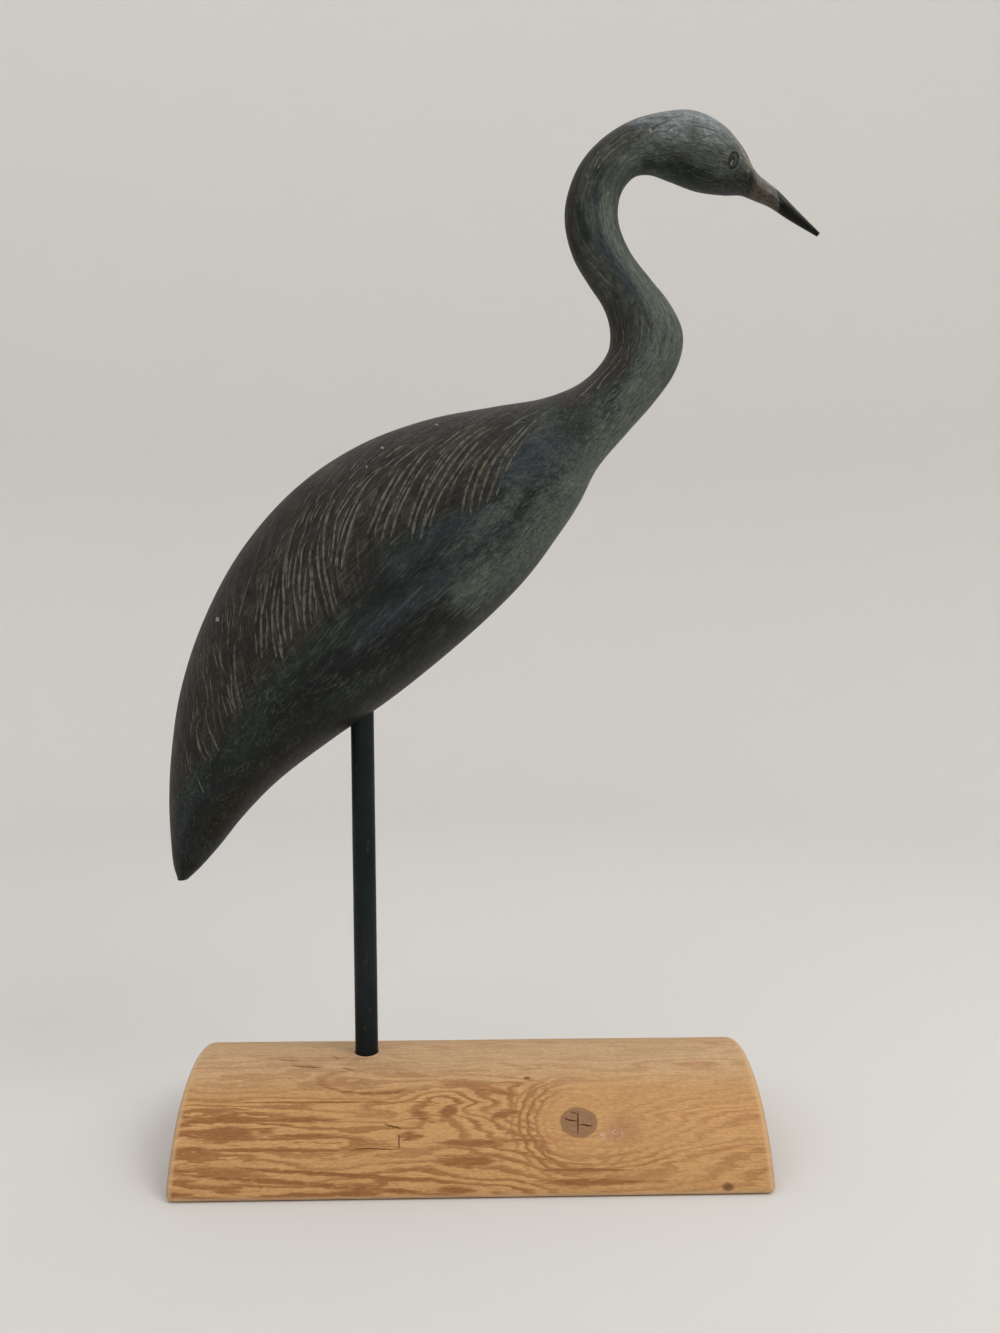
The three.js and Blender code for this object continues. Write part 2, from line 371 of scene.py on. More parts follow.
def new_finish(name, piece):
    """A material on a piece, and the wire of the piece's own coordinates."""
    finish = bpy.data.materials.new(name)
    finish.use_nodes = True
    piece.data.materials.clear()
    piece.data.materials.append(finish)
    tree = finish.node_tree
    return tree, Wire(tree).node("TexCoord", {}, {}, "Object")


def settle(tree, colour, roughness, height, relief, constants):
    """Feeds a material's shader with what varies, and sets what doesn't on its own sockets."""
    shader = tree.nodes["Principled BSDF"]
    bump = height.node("Bump", {}, {"Height": height, "Distance": relief}, "Normal")
    for name, wire in (("Base Color", colour), ("Roughness", roughness), ("Normal", bump)):
        tree.links.new(wire.socket, shader.inputs[name])
    for name, value in constants.items():
        shader.inputs[name].default_value = value


PALE_PINE = screen(190, 145, 93)
LATE_PINE = screen(128, 74, 28)
# Lighter colour of the crest, painted light on the top of the log
CREST_PINE = screen(190, 157, 118)
ROSY_PINE = screen(158, 104, 76)
WORN_PINE = screen(204, 168, 128)
END_PINE = screen(170, 128, 84)
KNOT_WOOD = screen(158, 120, 86)
KNOT_RIM = screen(122, 86, 56)
CHECK_DARK = screen(60, 36, 18)
RESIN_SPOT = screen(98, 58, 34)
TORN_FIBRE = screen(216, 190, 158)
BAND_STEP = 0.0068  # from one year's band on the peeled skin to the next
RING_STEP = 0.0027  # from one year's ring to the next where the log is sawn
PITH_LIFT = 0.0036  # height of the pith over the underside
# Bands and patches of late wood, as x and distance round from the crest, half sizes along and
# round the log, in mm, and how far the patch slopes down towards the right.
LATE_PATCHES = [
    (-75, 40, 56, 0.7, 0.01), (-136, 43.5, 20, 1.4, 0), (-128, 48.5, 25, 2.4, 0.02),
    (-125, 58, 17, 2.9, 0), (-88, 49.5, 20, 1.9, 0.03), (-83, 57.5, 19, 1.5, 0),
    (-125, 54, 30, 0.7, -0.02), (-94, 64, 60, 1, 0.012), (-68, 75.5, 80, 1.1, 0.07),
    (-73, 80.5, 84, 1.4, 0.08), (-122, 86, 28, 0.9, 0.05), (-60, 88, 42, 0.9, 0),
    (-3, 70, 19, 3.4, 0.03), (0, 62, 18, 2.1, 0.02), (-2, 30, 17, 3.6, 0.1), (-32, 58, 7, 2.4, 0),
    (62, 80.5, 36, 1.7, 0), (58, 75, 34, 0.9, 0.01), (-33, 23, 10, 2.4, 0.15),
    (-26, 48, 8, 2.8, 0.3), (-13, 47, 5, 4.4, -0.3), (14, 35, 11, 2.3, 0.2), (16, 48, 9, 2.4, -0.2),
]
# Places where the skin bulges through several years' bands, as x and distance round from the
# crest, then half sizes, in mm, and how many bands.
BULGES = [(52, 52, 44, 26, -4.2), (-16, 46, 15, 16, 1.6), (100, 40, 40, 20, -1.4)]
LOOP = (-52, 26.5, 29, 8.5)  # a band that doubles back, placed and sized as the patches


def pine_finish(piece):
    tree, place = new_finish("bare_pine", piece)
    x, y, z = (place.part(axis) for axis in "XYZ")
    arc = (y * -1).math("ARCTAN2", z - LOG_AXIS) * LOG_RADIUS

    def oval(centre_x, centre_arc, half_x, half_arc):
        """The square of the distance from a place on the skin, in halves of an oval's size."""
        return ((x - centre_x) / half_x) ** 2 + ((arc - centre_arc) / half_arc) ** 2

    flow = place.node("CombineXYZ", {}, {0: x, 1: arc})
    wander = flow.grain((9, 46, 0), 2)
    ripple = flow.grain((30, 190, 0), 3, 0.6)
    jag = flow.grain((130, 900, 0), 2, 0.6)
    fibre = place.grain((160, 2200, 2200), 2)
    streak = place.grain((26, 1100, 1100), 3, 0.6)
    years = arc / BAND_STEP + wander * 7 + ripple * 1.9 + jag * 0.45
    for bulge_x, bulge_arc, half_x, half_arc, bands in BULGES:
        off = oval(bulge_x / 1000, bulge_arc / 1000, half_x / 1000, half_arc / 1000)
        years = years + (off * -1).math("EXPONENT") * bands
    year = years.math("FRACT")
    late = year.rise(0.35, 0.7) * year.rise(1, 0.88)
    late = late * (0.3 + wander.rise(0.3, 0.65) * 0.6)
    fray = ripple * 2.4 + jag * 2.4
    for patch_x, patch_arc, half_x, half_arc, slope in LATE_PATCHES:
        over = (x - patch_x / 1000) / (half_x / 1000)
        round_off = (arc - patch_arc / 1000 - (x - patch_x / 1000) * slope) / (half_arc / 1000)
        late = late.math("MAXIMUM", (over ** 2 + round_off ** 2 + fray).rise(3.7, 2.5) * 0.9)
    loop = (oval(*(value / 1000 for value in LOOP)) ** 0.5 - 1).math("ABSOLUTE")
    loop = (loop * 6 + fray).rise(3.6, 2.5) * x.rise(-0.026, -0.04)
    late = late.math("MAXIMUM", loop)
    from_knot = oval(KNOT_X, KNOT_TURN * LOG_RADIUS, *KNOT_HALF) ** 0.5 + (ripple - 0.5) * 0.3
    swirl = (from_knot * 2.2 + ripple * 0.9 + jag * 0.25).math("FRACT")
    swirl = swirl.rise(0.3, 0.7) * swirl.rise(1, 0.85)
    swirl = swirl * from_knot.rise(1.15, 1.7) * from_knot.rise(4.6, 3)
    late = late.math("MAXIMUM", swirl * (0.35 + x.rise(0.06, 0.035) * 0.5))
    # Where the grain is pale and even: by the knot, over the crest and towards the right end. Over the
    # crest and towards the right end this paleness is partly painted light, from above and the right.
    calm = x.rise(0.02, 0.06) * arc.rise(0.07, 0.062) * 0.6
    calm = calm.math("MAXIMUM", oval(KNOT_X, KNOT_TURN * LOG_RADIUS, 0.024, 0.019).rise(1.2, 0.4) * 0.75)
    crest = z.rise(0.036, 0.05)
    calm = calm.math("MAXIMUM", crest * 0.75)
    calm = calm.math("MAXIMUM", x.rise(0.09, 0.105) * 0.5)
    late = late * (1 - calm)
    # Painted light: the crest is given a lighter colour than the flanks
    colour = crest.pick(PALE_PINE, CREST_PINE)
    rosy = wander.rise(0.52, 0.66) * ripple.rise(0.4, 0.65) * 0.5
    colour = rosy.pick(colour, ROSY_PINE)
    colour = (late * 0.9).pick(colour, LATE_PINE)
    colour = wander.shade(colour, 0.3)
    colour = streak.shade(colour, 0.35)
    colour = fibre.shade(colour, 0.25)
    colour = place.grain((380, 1100, 1100), 2, 0.6).rise(0.3, 0.7).shade(colour, 0.22)
    rings = place.vector("SUBTRACT", (0, 0, PITH_LIFT)).vector("MULTIPLY", (0, 1, 1)).vector("LENGTH")
    ring = (rings / RING_STEP + place.grain((6, 40, 40), 2) * 2.4 + jag * 0.3).math("FRACT")
    ring = ring.rise(0.2, 0.8) * ring.rise(1, 0.92)
    sawn = x.math("ABSOLUTE").rise(LOG_HIGH.x - 0.001, LOG_HIGH.x - 0.0003)
    sawn = sawn.math("MAXIMUM", z.rise(0.0004, 0.0001))
    colour = sawn.pick(colour, fibre.shade((ring * 0.7).pick(END_PINE, LATE_PINE), 0.5))
    rim = x.math("ABSOLUTE").rise(LOG_HIGH.x - 0.0045, LOG_HIGH.x - 0.0022)
    rim = rim.math("MAXIMUM", z.rise(0.0032, 0.0016)) * (1 - sawn)
    colour = (rim * 0.65).pick(colour, WORN_PINE)
    knot = from_knot.rise(1.05, 0.92)
    knot_ring = (from_knot * 24).math("SINE") * 0.5 + 0.5
    colour = knot.pick(colour, knot_ring.shade(jag.pick(KNOT_WOOD, KNOT_RIM), 0.12))
    colour = (from_knot.rise(1.12, 1) * from_knot.rise(0.88, 0.98) * 0.4).pick(colour, KNOT_RIM)
    scuffed = (oval(0.077, 0.0565, 0.013, 0.0095) + ripple * 0.6).rise(1.2, 0.3)
    colour = (scuffed * 0.5).pick(colour, ROSY_PINE)
    torn = (oval(0.0695, 0.059, 0.0105, 0.0058) + ripple * 0.6).rise(1.2, 0.3)
    torn = torn * place.grain((480, 950, 950), 3, 0.65).rise(0.46, 0.68)
    colour = (torn * 0.7).pick(colour, TORN_FIBRE)
    for spot_x, spot_arc, half in ((0.1278, 0.0836, 0.0022), (0.029, 0.0264, 0.0013)):
        spot = (oval(spot_x, spot_arc, half * 1.5, half) + ripple * 1.6).rise(2, 0.9)
        colour = (spot * 0.8).pick(colour, RESIN_SPOT)
    from_dowel = place.vector("SUBTRACT", (DOWEL_X, 0, 0)).vector("MULTIPLY", (1, 1, 0)).vector("LENGTH")
    ring_of_fibre = (from_dowel + (ripple - 0.5) * 0.004).rise(0.0092, 0.0072) * z.rise(0.046, 0.0475)
    colour = (ring_of_fibre * 0.25).pick(colour, TORN_FIBRE)
    depth = place.node("Attribute", {"attribute_name": "depth"}, {}, "Fac")
    # Painted shade: the drying checks darken with their depth
    colour = depth.rise(0.1, 0.8).pick(colour, CHECK_DARK)
    roughness = 0.6 - late * 0.08 + fibre * 0.15
    height = late * 0.5 + fibre * 0.4 + streak * 0.4 + torn * 1.5 + knot * knot_ring * 0.4
    settle(tree, colour, roughness, height, 0.0002, {"Specular IOR Level": 0.3})


pine_finish(log)
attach(log, "root")
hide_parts("log_base")


# The leg. One straight rod of turned hardwood, half an inch thick, painted blue-black and glued
# into the hole in the log. Handling has rubbed its satin paint in a few places.
DOWEL_ROWS = 70
DOWEL_SIDES = 48
DOWEL_WAVER = 0.00008  # how far the hand-sanded rod is out of true


def dowel_place(row, side):
    """A corner of the rod's skin, with a small rounding at both ends."""
    low, high = DOWEL_SPAN
    from_end = min(row, DOWEL_ROWS - row)
    height = low + (high - low) * min(1, max(0, row - 2) / (DOWEL_ROWS - 4))
    radius = DOWEL_RADIUS * (0, 0.93, 1)[min(from_end, 2)]
    turn = side / DOWEL_SIDES * 2 * math.pi
    spot = Vector((math.cos(turn), math.sin(turn), 0))
    radius -= DOWEL_WAVER * (0.5 + 0.5 * noise.noise(Vector((spot.x, spot.y, height * 40))))
    return dowel_matrix(height) @ (spot * max(0, radius) * (from_end > 0))


rod = bmesh.new()
closed_skin(rod, DOWEL_ROWS, DOWEL_SIDES, dowel_place)
dowel = object_of("painted_dowel", rod)
dowel.data.shade_smooth()
dowel.data.set_sharp_from_angle(angle=SHARP_TURN)

ROD_PAINT = screen(15, 21, 23)
ROD_DULL = screen(25, 31, 33)
ROD_WORN = screen(60, 54, 46)


def rod_finish(piece):
    tree, place = new_finish("rod_paint", piece)
    cloud = place.grain((60, 60, 25), 3)
    brush = place.grain((1600, 1600, 60), 3, 0.6)
    colour = cloud.rise(0.35, 0.7).pick(ROD_PAINT, ROD_DULL)
    colour = brush.shade(colour, 0.5)
    worn = place.grain((500, 500, 180), 3).rise(0.66, 0.74)
    rubbed = place.grain((900, 900, 45), 3, 0.6).rise(0.6, 0.72) * cloud.rise(0.4, 0.6)
    colour = (worn * 0.6).pick((rubbed * 0.35).pick(colour, ROD_WORN), ROD_WORN)
    roughness = 0.38 + cloud * 0.16 + brush * 0.1
    settle(tree, colour, roughness, brush - worn, 0.00006, {"Specular IOR Level": 0.14})


rod_finish(dowel)
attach(dowel, "root")
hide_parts("leg_dowel")


# The bird. One block of softwood, rasped to shape and smoothed, its feathers scored with a
# veining tool in fans that peel off the back, then painted and rubbed down. It sits on the rod.
BODY_WIDTH = 0.098
# The bird from tail tip to bill tip, as sections across it: the section's point on the back line
# (x, z) and on the belly line (x, z), in mm, its width as a share of the body's, and how far its
# widest place lies towards the back.
SECTIONS = [
    (-161.6, 146.4, -156.2, 145.4, 0.08, 0), (-163.4, 154, -149.5, 151.6, 0.18, 0),
    (-164.4, 168, -138.6, 163.8, 0.29, 0), (-164.7, 188, -126, 179.5, 0.44, 0),
    (-163.2, 212, -107, 199, 0.62, 0), (-157.5, 248.5, -77, 222, 0.82, 0),
    (-145.4, 285.2, -45, 244, 0.95, 0), (-124.7, 324, -16, 267, 1, 0),
    (-95, 357.9, 9, 289, 0.99, 0), (-61.3, 380.8, 30, 310.5, 0.93, 0),
    (-24.6, 394.7, 46, 332, 0.83, 0), (12.3, 402.1, 58, 350, 0.69, 0),
    (38.5, 406.8, 68, 369.5, 0.56, 0), (56.8, 414.2, 84, 388.5, 0.45, 0),
    (67.7, 423.4, 99, 405.5, 0.4, 0), (73.9, 433, 109.5, 420.5, 0.38, 0),
    (75, 441, 114, 434, 0.37, 0), (74, 449, 113.5, 444, 0.36, 0),
    (70.6, 457.7, 107, 457, 0.34, 0), (63.1, 468.7, 96, 470.7, 0.31, 0),
    (55, 482.1, 86, 483.6, 0.285, 0), (50.4, 498, 79.3, 499, 0.275, 0),
    (50.7, 512, 79, 511, 0.275, 0), (57.4, 530.3, 82.4, 520, 0.275, 0),
    (68.5, 543.2, 89.3, 526.6, 0.285, 0), (83.8, 552.9, 97.5, 527.5, 0.31, 0),
    (101.3, 558, 107.6, 524.2, 0.345, -0.05), (117.4, 559.2, 122.7, 519, 0.365, -0.1),
    (132.6, 552.6, 136.8, 517.2, 0.34, -0.1), (144, 540.4, 147, 517, 0.265, -0.1),
    (149.2, 531.2, 151, 515.2, 0.2, -0.05), (153.8, 526.2, 153.6, 513.7, 0.155, 0),
    (163.9, 519, 161, 510.6, 0.12, 0), (175.4, 508.4, 170.2, 504.5, 0.08, 0),
    (188.2, 496.6, 186.8, 494.8, 0.03, 0),
]
LAST_SECTION = len(SECTIONS) - 1
RINGS_PER_SECTION = 7
TIP_RINGS = 4
BIRD_SIDES = 96
TIP_BULGE = (0.0018, 0.0002)  # how far the tail and the bill round out past their last section
STROKE_WIDTH = 0.0017
STROKE_DEPTH = 0.0008
STROKE_STEP = 0.0022  # between the corners of a blade's path
STROKE_CLEAR = 0.0028  # strokes that come nearer to each other are cut one after the other
STROKE_STRAY = 0.0004  # how far the tool wanders off a stroke's line
STROKE_FADES = (0.3, 0.08)  # shares of its length over which a stroke deepens and runs out
# The scored strokes of one flank: how boldly each is cut, then the places (x, z) that it passes,
# in mm, seen from the side. First the fans of feathers, from the shoulder to the tail.
STROKES = [
    (1, 10.5, 376.5, 3.5, 368.5, -0.5, 359, -3.5, 349, -5, 339.5),
    (1.1, 17, 382.5, 10, 372, 4, 361.5, 0.5, 350, -1, 338.5),
    (1.1, 23, 385, 15.5, 375, 9.5, 364.5, 5.5, 353.5, 3, 342),
    (1, 46, 401.5, 34.5, 392, 25, 381.5, 16.5, 370.5, 11.5, 357.5, 7, 345),
    (0.7, 35.5, 388.5, 27, 380, 20.5, 370, 15.5, 359.5, 11.5, 349),
    (0.8, 30, 390, 24.5, 389.5, 19.5, 387, 14.5, 384), (0.6, 25, 395.5, 17, 394.5, 9.5, 392.5),
    (0.6, 38, 398, 31, 394.5, 24.5, 391, 18.5, 386),
    (0.7, 20.5, 387, 14.5, 381.5, 9, 375.5, 3.5, 369.5, -1, 363),
    (0.6, 30, 390, 23.5, 383.5, 18, 376.5, 13, 369.5), (0.7, 6, 376, -1, 368.5, -7, 360, -11.5, 351),
    (0.9, 16.5, 388, 5, 379.5, -4, 368.5, -11.5, 357, -18, 345, -21.5, 332),
    (1, 20.5, 390.5, 5.5, 383.5, -6.5, 371, -15.5, 357, -22.5, 342, -26, 326),
    (1.1, 14.5, 391.5, 0, 382.5, -11, 370, -20, 356.5, -27, 341.5, -30, 326),
    (0.8, -8.5, 379, -16.5, 368.5, -23.5, 357, -28.5, 345, -32, 332.5),
    (0.6, -4.5, 387.5, -8.5, 382.5, -13, 378.5, -17, 375),
    (0.6, 9.5, 392, 2.5, 389, -4, 385.5, -10, 381.5), (0.6, 2, 388.5, -4.5, 382.5, -11, 377, -17, 370.5),
    (0.7, -6, 378.5, -11.5, 372.5, -16.5, 365.5, -20.5, 358.5, -24, 351),
    (0.6, -17.5, 347.5, -21.5, 341, -24, 333.5),
    (1, -19, 372.5, -26.5, 362, -32.5, 350.5, -37.5, 339, -41, 327),
    (1, -10, 384, -21.5, 375, -30, 363.5, -36, 351, -42, 338, -45.5, 325),
    (1.1, -24, 375, -33, 364, -40, 352.5, -45.5, 340, -49, 327),
    (0.9, -34.5, 367, -40, 358, -45, 348.5, -48.5, 339, -52.5, 329.5),
    (0.8, -14, 383.5, -23, 379.5, -30.5, 373.5, -38, 367, -43, 359),
    (0.8, -6, 392.5, -15, 389, -24.5, 386.5, -33.5, 383.5, -42, 379.5),
    (0.5, -2, 392.5, -7.5, 389, -12.5, 385.5), (1.2, -30, 378.5, -35.5, 377, -40.5, 373.5, -45, 369.5),
    (0.5, -21.5, 380.5, -28, 377, -34.5, 372.5), (0.5, -16.5, 386.5, -24, 383, -32, 380.5, -39.5, 376),
    (0.6, -37.5, 370, -44.5, 365.5, -50.5, 360, -55.5, 353.5, -60, 347),
    (0.6, -41.5, 367.5, -48, 364, -53.5, 359.5, -58.5, 353.5), (0.5, -34, 373, -40, 369, -44.5, 364),
    (0.6, -28, 363, -32, 355.5, -36, 348.5, -39, 340.5),
    (0.5, -48, 374, -54, 369, -58.5, 364, -63.5, 358), (0.5, -39.5, 376, -46.5, 372.5, -53, 367.5),
    (0.7, -38, 359, -42.5, 352.5, -46, 345, -48.5, 337.5),
    (0.9, -45.5, 365, -53, 356.5, -58.5, 346, -63, 335.5, -66, 324.5, -68.5, 313.5),
    (1.1, -46.5, 356, -55, 347.5, -60, 336, -63, 324, -65, 312),
    (0.9, -52.5, 362.5, -60.5, 351.5, -67, 340, -69, 326.5, -70.5, 313.5),
    (0.6, -55.5, 361.5, -61, 355, -65, 347.5, -69, 340),
    (1, -67.5, 353.5, -72, 341, -74, 328.5, -73.5, 315.5, -71, 303, -68.5, 290.5),
    (1.1, -75.5, 334.5, -77, 323, -76, 311, -73.5, 300, -71, 289),
    (1, -78, 333, -81, 321, -80, 308.5, -80.5, 296.5, -79.5, 284.5),
    (0.6, -70.5, 327.5, -71, 323.5, -71.5, 319), (0.6, -70, 309, -69, 302, -67, 294.5),
    (0.5, -46.5, 354.5, -49, 349.5, -51, 344),
    (0.6, -64.5, 360, -69.5, 353.5, -72.5, 346.5, -76, 339.5, -77.5, 332),
    (0.6, -68, 350, -72, 343, -74, 335.5, -74.5, 327.5), (0.5, -63, 369, -68, 363.5, -72.5, 357.5),
    (0.6, -58, 349.5, -62.5, 342, -65.5, 334.5, -67, 326, -67.5, 317.5),
    (0.6, -73, 327.5, -73.5, 322.5, -73.5, 317, -72.5, 311.5),
    (0.5, -65, 327.5, -66.5, 320.5, -67, 313.5), (0.5, -76, 350, -80, 343.5, -82, 336),
    (0.5, -80.5, 358, -84.5, 351.5, -87.5, 345, -93.5, 341), (0.5, -71, 355, -77, 352, -79.5, 346.5),
    (0.5, -73, 352, -77, 345.5, -80.5, 338.5), (0.5, -81.5, 349.5, -84.5, 343, -86.5, 335.5),
    (0.5, -85.5, 345.5, -89, 338, -92.5, 331.5), (0.4, -81, 344.5, -83, 339.5, -84.5, 334.5),
    (0.5, -51.5, 374, -57, 368.5, -61.5, 362), (0.5, -45, 381, -52, 376, -58.5, 370, -63, 362.5),
    (0.5, -95, 334.5, -97.5, 327, -100, 320), (0.6, -77.5, 304, -77.5, 298.5, -77.5, 293.5, -77.5, 288),
    (1.1, -82, 317, -83, 308, -83.5, 299, -83.5, 290, -82.5, 281),
    (1.1, -82, 329.5, -85, 323, -85.5, 315, -86, 307.5, -86, 300),
    (0.9, -87.5, 325.5, -88.5, 314.5, -89, 303.5, -87.5, 292.5, -85.5, 282),
    (0.7, -89.5, 325, -91, 317.5, -91.5, 310, -91.5, 302.5),
    (0.7, -91.5, 297.5, -91, 290.5, -90.5, 283.5, -90, 276.5),
    (1.1, -90.5, 330, -93.5, 319.5, -94.5, 308.5, -94, 297.5, -94, 286, -92.5, 275.5),
    (1, -96, 305.5, -97, 296, -97, 286.5, -95.5, 277, -95, 268),
    (1.2, -97.5, 314.5, -99, 302.5, -100, 291, -99.5, 279.5, -97.5, 268),
    (0.8, -103.5, 295.5, -102.5, 286.5, -103, 278, -102.5, 269.5),
    (1, -102, 314, -103.5, 302.5, -105.5, 291, -105.5, 279.5, -105.5, 267.5),
    (0.6, -82.5, 338, -84.5, 331.5, -86.5, 325, -87, 318), (0.6, -88.5, 338.5, -91, 331.5, -92.5, 324),
    (0.7, -92, 322, -93, 315.5, -93, 309, -92.5, 302.5),
    (0.6, -80, 317.5, -79.5, 311, -79, 304.5, -78.5, 297.5),
    (0.6, -99.5, 318, -100.5, 310.5, -101.5, 303), (0.6, -86.5, 315, -86.5, 308.5, -86, 302, -85, 295),
    (0.5, -109, 282.5, -108.5, 276.5, -108, 270), (0.7, -97, 278, -96, 272.5, -94.5, 268),
    (0.6, -104, 313, -105.5, 307.5, -107.5, 302),
    (0.7, -111.5, 313, -114.5, 305, -116.5, 297, -118.5, 288.5),
    (0.6, -117.5, 286.5, -117, 282, -117.5, 277),
    (0.9, -120, 280.5, -120, 271, -119.5, 261, -118.5, 251.5, -116, 242),
    (0.7, -123, 268.5, -122, 259.5, -121.5, 250, -119, 241),
    (0.6, -125.5, 250.5, -123, 245.5, -121.5, 239.5), (0.7, -127.5, 252.5, -126, 245, -123.5, 237.5),
    (0.6, -127, 261.5, -127, 257.5, -127, 253.5), (0.6, -129.5, 258.5, -129, 251, -128, 244),
    (0.6, -134.5, 261, -133.5, 255.5, -132.5, 250, -132, 244.5),
    (0.6, -140, 269.5, -138.5, 260, -135.5, 250.5, -135, 241),
    (0.6, -133, 276.5, -131.5, 269.5, -129.5, 262.5),
    (0.7, -132.5, 278.5, -129.5, 272, -127.5, 265.5, -125, 259.5),
    (0.5, -139, 286.5, -137.5, 280, -137, 273.5, -137.5, 267),
    (0.5, -124.5, 295, -125, 289.5, -124, 283.5), (0.6, -107.5, 302, -108, 296.5, -108.5, 291, -109, 285),
    (0.5, -115, 310.5, -116.5, 303.5, -118, 296.5),
    (0.5, -120.5, 299, -121, 293.5, -121.5, 288, -121.5, 282.5),
    (0.5, -127.5, 295.5, -128, 287.5, -127.5, 279.5), (0.5, -123.5, 285, -124, 278.5, -124, 271.5),
    (0.5, -135.5, 272.5, -136.5, 265.5, -135.5, 259), (0.5, -141.5, 251.5, -142, 244.5, -141, 237.5),
    (0.5, -122, 295.5, -123.5, 288, -124, 280.5), (0.5, -129, 277.5, -128, 270.5, -127, 263.5),
    (0.6, -124.5, 257.5, -123, 250, -120.5, 243), (0.5, -140, 277.5, -141, 271, -141, 265),
    (0.9, -137, 245, -136, 236, -133, 227.5, -129.5, 219.5),
    (0.7, -139.5, 239, -142, 231, -140.5, 223, -138, 215.5),
    (0.5, -144.5, 244.5, -144.5, 238, -145.5, 232, -146.5, 225.5),
    (0.5, -146, 220.5, -146.5, 214, -146, 207), (0.5, -149, 246, -149.5, 239.5, -150, 233, -150.5, 226),
    (0.7, -142, 228.5, -140.5, 221, -136.5, 214.5), (0.5, -153, 225, -153, 217, -151.5, 209.5),
    (0.5, -143, 207.5, -141.5, 202, -139.5, 196.5), (0.6, -139.5, 231.5, -138, 224, -135.5, 217.5),
    (0.5, -148.5, 223, -148.5, 215.5, -146.5, 208.5),
    # Lines that follow the nape and the crown of the head.
    (1.2, 105, 549, 97, 545.5, 91, 541, 83.5, 538),
    (1.1, 90.5, 542.5, 83, 539.5, 76, 535, 70, 529.5, 65.5, 523),
    (0.9, 89, 544.5, 81.5, 542, 74, 537.5, 68, 531.5, 64, 524), (0.8, 61.5, 526, 61, 522.5, 61, 519),
    (0.12, 97, 534, 107, 535, 117, 535.5, 127, 533),
    (0.1, 110.5, 544, 117.5, 544.5, 124, 543.5, 130.5, 541.5),
    (0.08, 115.5, 531.5, 120.5, 532, 125.5, 531.5), (0.1, 99.5, 532.5, 106.5, 531, 114, 531.5),
    (0.12, 94.5, 542, 101.5, 542, 107, 547), (0.1, 96.5, 540.5, 101.5, 538, 106.5, 539, 109.5, 543.5),
    (0.1, 117.5, 536.5, 122.5, 539, 128, 540.5),
    # Lines down the back of the neck to the shoulders.
    (0.9, 58.5, 480.5, 65, 474, 70.5, 467, 76.5, 461), (0.7, 74, 466.5, 77.5, 463.5, 80, 460),
    (0.7, 78, 449, 80, 435.5, 74, 424, 65, 413.5, 55, 403),
    (0.7, 80.5, 428.5, 76, 421.5, 70, 415, 65, 408),
    (0.24, 81, 448, 82.5, 440, 82.5, 431.5, 81, 423, 76, 416), (0.2, 85, 455, 85.5, 450.5, 84.5, 446.5),
    (0.2, 88, 436.5, 87, 431, 86, 425.5), (0.2, 85, 424, 84.5, 420.5, 84, 417.5),
    # Scratches along the breast and the belly.
    (0.16, 35, 352, 29.5, 348.5, 24.5, 344.5), (0.16, 33.5, 340, 28, 333, 22.5, 326.5, 16, 320.5),
    (0.1, 31.5, 341.5, 26.5, 337.5, 21.5, 333.5), (0.12, 20.5, 335.5, 17, 332, 13.5, 328),
    (0.12, 18.5, 328.5, 12.5, 324, 7, 319), (0.1, 14.5, 338.5, 9.5, 333.5, 5, 328),
    (0.12, -13.5, 314, -20, 309.5, -27, 305.5), (0.12, -1, 314.5, -6.5, 312.5, -11, 309),
    (0.1, -11, 308, -17.5, 303.5, -24, 299), (0.1, -10, 299.5, -16, 295, -22.5, 291.5),
    (0.1, -19, 292, -23.5, 288.5, -28, 285.5, -32.5, 282),
    (0.1, -37.5, 289, -41, 285, -45, 281, -49.5, 277.5), (0.08, -61, 279, -65, 276, -68.5, 272.5),
    (0.1, -64.5, 257.5, -70.5, 254, -77, 251.5), (0.08, -71, 275.5, -74, 272.5, -77, 270),
    (0.08, -98, 262.5, -102, 260, -105.5, 257.5), (0.08, -87, 247.5, -90, 244.5, -93.5, 242),
    (0.12, -100.5, 252.5, -103.5, 244.5, -106.5, 237, -110.5, 229.5, -116, 222),
    (0.12, -114.5, 215.5, -121, 210.5, -127.5, 205), (0.1, -38, 325, -43, 321, -48, 316.5),
    (0.1, 6.5, 318.5, 1, 313, -5, 308), (0.1, -26, 317.5, -31.5, 313, -36, 307.5),
]
MIRROR_SHIFT = 0.0016  # how far the far flank's strokes stray
EYE_X, EYE_Z = 0.1372, 0.5282
EYE_HALF = (0.0025, 0.0039)  # its half sizes across and up
EYE_TILT = math.radians(14)  # of its upper end, towards the bill
EYE_STEPS = 30
EYE_CUT = 0.4  # how boldly its ring is scored
EYE_FADE = 0.06
WIDTH_SPACING = 0.5  # between the points of the curve through the sections' widths
BESIDE = 0.1  # how far from the middle plane a line of sight towards the flank starts


def through(points, share):
    """The place a share of the way along a centripetal Catmull-Rom curve through points."""
    spot = share * (len(points) - 1)
    start = min(int(spot), len(points) - 2)
    share = spot - start
    p1, p2 = points[start], points[start + 1]
    p0 = points[start - 1] if start > 0 else p1 * 2 - p2
    p3 = points[start + 2] if start + 2 < len(points) else p2 * 2 - p1
    gap0, gap1, gap2 = ((b - a).length ** 0.5 for a, b in ((p0, p1), (p1, p2), (p2, p3)))
    leave = ((p1 - p0) / gap0 - (p2 - p0) / (gap0 + gap1) + (p2 - p1) / gap1) * gap1
    reach = ((p2 - p1) / gap1 - (p3 - p1) / (gap1 + gap2) + (p3 - p2) / gap2) * gap1
    return (p1 + leave * share + ((p2 - p1) * 3 - leave * 2 - reach) * share ** 2
            + ((p1 - p2) * 2 + leave + reach) * share ** 3)


BACK = [Vector((x, 0, z)) for x, z, _, _, _, _ in SECTIONS]
BELLY = [Vector((x, 0, z)) for _, _, x, z, _, _ in SECTIONS]
WIDTHS = [Vector((i * WIDTH_SPACING, width, lift))
          for i, (_, _, _, _, width, lift) in enumerate(SECTIONS)]


